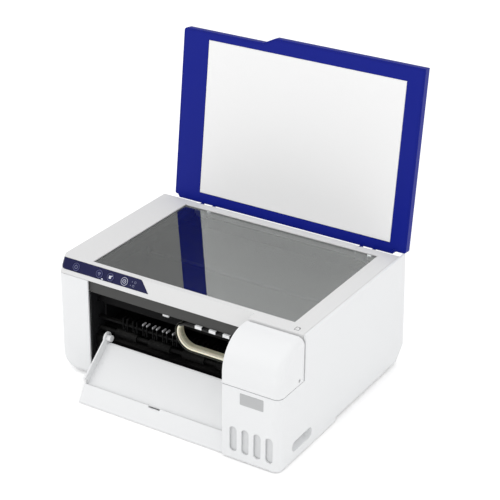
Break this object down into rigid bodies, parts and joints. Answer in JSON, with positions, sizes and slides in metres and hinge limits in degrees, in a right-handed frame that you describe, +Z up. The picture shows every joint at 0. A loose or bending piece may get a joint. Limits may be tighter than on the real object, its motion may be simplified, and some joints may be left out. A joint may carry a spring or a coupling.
{
  "type": "ink tank printer",
  "caption": "Desktop ink tank printer and scanner with its document lid open, slanted paper ramp and a tank housing beside it.",
  "frame": {"origin": "middle of the whole outline, open lid included, on the table", "axes": "+X across to the tank side, +Y to the rear, +Z up; the lid stands open"},
  "size_m": [0.3866, 0.3704, 0.4225],
  "materials": {
    "white_cover": "satin",
    "white_frame": "fine grain",
    "blue_lid": "satin",
    "white_pad": "matt foam sheet",
    "navy_panel": "gloss",
    "navy_button": "satin",
    "clear_glass": "polished",
    "black_plastic": "matt",
    "dark_grey_plastic": "matt",
    "mid_grey_plastic": "matt",
    "zinc_steel": "zinc plated sheet",
    "bright_steel": "ground shaft",
    "black_rubber": "matt",
    "belt_rubber": "ribbed",
    "tube_silicone": "translucent, satin",
    "tank_plastic": "translucent",
    "gear_nylon": "satin",
    "black_cap": "matt",
    "cyan_cap": "matt",
    "magenta_cap": "matt",
    "yellow_cap": "matt",
    "green_board": "varnished",
    "head_black": "matt"
  },
  "bodies": {
    "base": {"left_cover": "white_cover", "right_cover": "white_cover", "ink_tank": "tank_plastic", "bottom_chassis": "white_cover", "rubber_feet": "black_rubber", "rear_cover": "white_cover", "power_inlet": "black_plastic", "usb_port": "bright_steel", "paper_ramp": "white_cover", "side_frame_left": "dark_grey_plastic", "side_frame_right": "zinc_steel", "carriage_rail": "zinc_steel", "front_guide": "black_plastic", "guide_tabs": "white_cover", "platen": "black_plastic", "feed_motor": "zinc_steel", "star_wheel_bar": "dark_grey_plastic", "timing_belt": "belt_rubber", "carriage_motor": "zinc_steel", "capping_station": "dark_grey_plastic", "ink_tubes": "tube_silicone", "hopper_plate": "black_plastic", "power_supply": "black_plastic", "main_board": "green_board", "screws": "zinc_steel"},
    "tank_cover": {"ink_tank_cover": "white_cover"},
    "black_cap": {"cap_black": "black_cap"},
    "cyan_cap": {"cap_cyan": "cyan_cap"},
    "magenta_cap": {"cap_magenta": "magenta_cap"},
    "yellow_cap": {"cap_yellow": "yellow_cap"},
    "scanner": {"scanner_frame": "white_frame", "control_panel": "navy_panel", "scanner_housing": "mid_grey_plastic", "scanner_glass": "clear_glass", "scan_rod": "bright_steel"},
    "power_key": {"power_button": "navy_button"},
    "network_key": {"network_button": "navy_button"},
    "info_key": {"info_button": "navy_button"},
    "copy_key": {"copy_button": "navy_button"},
    "scan_carriage": {"scan_head": "black_plastic"},
    "lid_posts": {"hinge_posts": "white_frame"},
    "lid": {"lid_shell": "blue_lid", "lid_liner": "blue_lid", "lid_pad": "white_pad"},
    "tray": {"output_tray": "white_cover"},
    "extension": {"tray_extension": "white_cover"},
    "print_carriage": {"carriage": "black_plastic", "print_head": "head_black"},
    "drive_wheel": {"drive_pulley": "gear_nylon"},
    "idler_wheel": {"idler_pulley": "gear_nylon"},
    "feed": {"feed_roller": "black_rubber", "feed_gear": "gear_nylon"},
    "exit": {"exit_roller": "black_rubber", "exit_gear": "gear_nylon"},
    "idler": {"idler_gear": "gear_nylon"},
    "pinion": {"motor_pinion": "gear_nylon"},
    "pickup": {"pickup_roller": "black_rubber"},
    "side_guide": {"edge_guide": "dark_grey_plastic"},
    "support": {"paper_support": "white_cover"},
    "support_top": {"support_extension": "white_cover"}
  },
  "joints": [
    {"name": "tank_cover_hinge", "type": "hinge", "parent": "base", "child": "tank_cover", "pos_m": [0, -0.1334, 0.161], "axis": [-1, 0, 0], "range_deg": [0, 85]},
    {"name": "black_cap_hinge", "type": "hinge", "parent": "base", "child": "black_cap", "pos_m": [0.12675, -0.1442, 0.1148], "axis": [-1, 0, 0], "range_deg": [0, 95]},
    {"name": "cyan_cap_hinge", "type": "hinge", "parent": "base", "child": "cyan_cap", "pos_m": [0.14415, -0.1442, 0.1148], "axis": [-1, 0, 0], "range_deg": [0, 95]},
    {"name": "magenta_cap_hinge", "type": "hinge", "parent": "base", "child": "magenta_cap", "pos_m": [0.16155, -0.1442, 0.1148], "axis": [-1, 0, 0], "range_deg": [0, 95]},
    {"name": "yellow_cap_hinge", "type": "hinge", "parent": "base", "child": "yellow_cap", "pos_m": [0.17895, -0.1442, 0.1148], "axis": [-1, 0, 0], "range_deg": [0, 95]},
    {"name": "scanner_lift", "type": "hinge", "parent": "base", "child": "scanner", "pos_m": [0, 0.1488, 0.154], "axis": [1, 0, 0], "range_deg": [-30, 0]},
    {"name": "lid_posts_rise", "type": "slide", "parent": "scanner", "child": "lid_posts", "axis": [0, 0, 1], "range_m": [0, 0.012]},
    {"name": "lid_hinge", "type": "hinge", "parent": "lid_posts", "child": "lid", "pos_m": [0, 0.1357, 0.162], "axis": [-1, 0, 0], "range_deg": [-96.6, 0]},
    {"name": "scan_head_slide", "type": "slide", "parent": "scanner", "child": "scan_carriage", "axis": [1, 0, 0], "range_m": [0, 0.3]},
    {"name": "power_key_press", "type": "slide", "parent": "scanner", "child": "power_key", "axis": [0, 0.8762, -0.4819], "range_m": [0, 0.001], "stiffness_N_per_m": 600},
    {"name": "network_key_press", "type": "slide", "parent": "scanner", "child": "network_key", "axis": [0, 0.8762, -0.4819], "range_m": [0, 0.001], "stiffness_N_per_m": 600},
    {"name": "info_key_press", "type": "slide", "parent": "scanner", "child": "info_key", "axis": [0, 0.8762, -0.4819], "range_m": [0, 0.001], "stiffness_N_per_m": 600},
    {"name": "copy_key_press", "type": "slide", "parent": "scanner", "child": "copy_key", "axis": [0, 0.8762, -0.4819], "range_m": [0, 0.001], "stiffness_N_per_m": 600},
    {"name": "carriage_slide", "type": "slide", "parent": "base", "child": "print_carriage", "axis": [-1, 0, 0], "range_m": [0, 0.255], "deforming": ["ink_tubes"]},
    {"name": "drive_wheel_spin", "type": "hinge", "parent": "base", "child": "drive_wheel", "pos_m": [0.16575, -0.02, 0.104], "axis": [0, 1, 0], "continuous": true},
    {"name": "idler_wheel_spin", "type": "hinge", "parent": "base", "child": "idler_wheel", "pos_m": [-0.13225, -0.02, 0.104], "axis": [0, 1, 0], "continuous": true},
    {"name": "feed_spin", "type": "hinge", "parent": "base", "child": "feed", "pos_m": [0, -0.03, 0.07], "axis": [1, 0, 0], "continuous": true},
    {"name": "idler_spin", "type": "hinge", "parent": "base", "child": "idler", "pos_m": [0, -0.0684, 0.07], "axis": [1, 0, 0], "continuous": true},
    {"name": "exit_spin", "type": "hinge", "parent": "base", "child": "exit", "pos_m": [0, -0.0988, 0.07], "axis": [1, 0, 0], "continuous": true},
    {"name": "pinion_spin", "type": "hinge", "parent": "base", "child": "pinion", "pos_m": [0, -0.03, 0.0492], "axis": [1, 0, 0], "continuous": true},
    {"name": "pickup_spin", "type": "hinge", "parent": "base", "child": "pickup", "pos_m": [0, 0.1151, 0.085], "axis": [1, 0, 0], "continuous": true},
    {"name": "tray_slide", "type": "slide", "parent": "base", "child": "tray", "axis": [0, -1, 0], "range_m": [0, 0.075]},
    {"name": "extension_slide", "type": "slide", "parent": "tray", "child": "extension", "axis": [0, -1, 0], "range_m": [0, 0.09]},
    {"name": "side_guide_slide", "type": "slide", "parent": "base", "child": "side_guide", "axis": [1, 0, 0], "range_m": [0, 0.06]},
    {"name": "support_slide", "type": "slide", "parent": "base", "child": "support", "axis": [0, 0.309, 0.9511], "range_m": [0, 0.095]},
    {"name": "support_top_slide", "type": "slide", "parent": "support", "child": "support_top", "axis": [0, 0.309, 0.9511], "range_m": [0, 0.08]}
  ],
  "couplings": [
    {"joint": "drive_wheel_spin", "follows": "carriage_slide", "rad_per_m": 166.67},
    {"joint": "idler_wheel_spin", "follows": "carriage_slide", "rad_per_m": 166.67},
    {"joint": "idler_spin", "follows": "feed_spin", "ratio": -0.71429},
    {"joint": "exit_spin", "follows": "feed_spin", "ratio": 2},
    {"joint": "pinion_spin", "follows": "feed_spin", "ratio": -3.3333}
  ]
}
